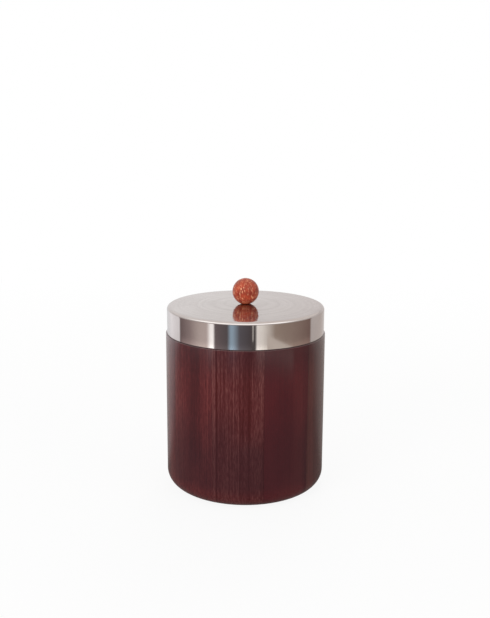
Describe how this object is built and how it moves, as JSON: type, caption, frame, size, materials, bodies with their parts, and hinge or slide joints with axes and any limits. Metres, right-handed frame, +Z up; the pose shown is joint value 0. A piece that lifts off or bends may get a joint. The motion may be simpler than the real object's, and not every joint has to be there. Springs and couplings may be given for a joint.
{
  "type": "lidded wooden box",
  "caption": "Round coopered wooden box with a rounded foot and a slip-on polished metal lid; a wooden ball knob lifts the lid straight off to open it.",
  "frame": {"origin": "centre of the flat underside, on the box's axis", "axes": "+Z up along the box's axis and the way the lid lifts, -Y towards the viewer in the picture"},
  "size_m": [0.12, 0.12, 0.1592],
  "materials": {
    "lacquered_stave": "dark red-brown wood under a semi-gloss lacquer",
    "base_wood": "red-brown wood, sealed and rubbed",
    "lid_metal": "spun sheet, polished bright",
    "knob_wood": "orange-red open-pored wood, waxed",
    "insert_brass": "turned brass",
    "fixing_steel": "zinc-plated steel"
  },
  "bodies": {
    "box": {"stave_01": "lacquered_stave", "stave_02": "lacquered_stave", "stave_03": "lacquered_stave", "stave_04": "lacquered_stave", "stave_05": "lacquered_stave", "stave_06": "lacquered_stave", "stave_07": "lacquered_stave", "stave_08": "lacquered_stave", "stave_09": "lacquered_stave", "stave_10": "lacquered_stave", "base_board": "base_wood"},
    "lid": {"lid_shell": "lid_metal", "knob_ball": "knob_wood", "knob_insert": "insert_brass", "knob_screw": "fixing_steel", "knob_washer": "fixing_steel"}
  },
  "joints": [
    {"name": "lid_lift", "type": "slide", "parent": "box", "child": "lid", "axis": [0, 0, 1], "range_m": [0, 0.1]}
  ]
}
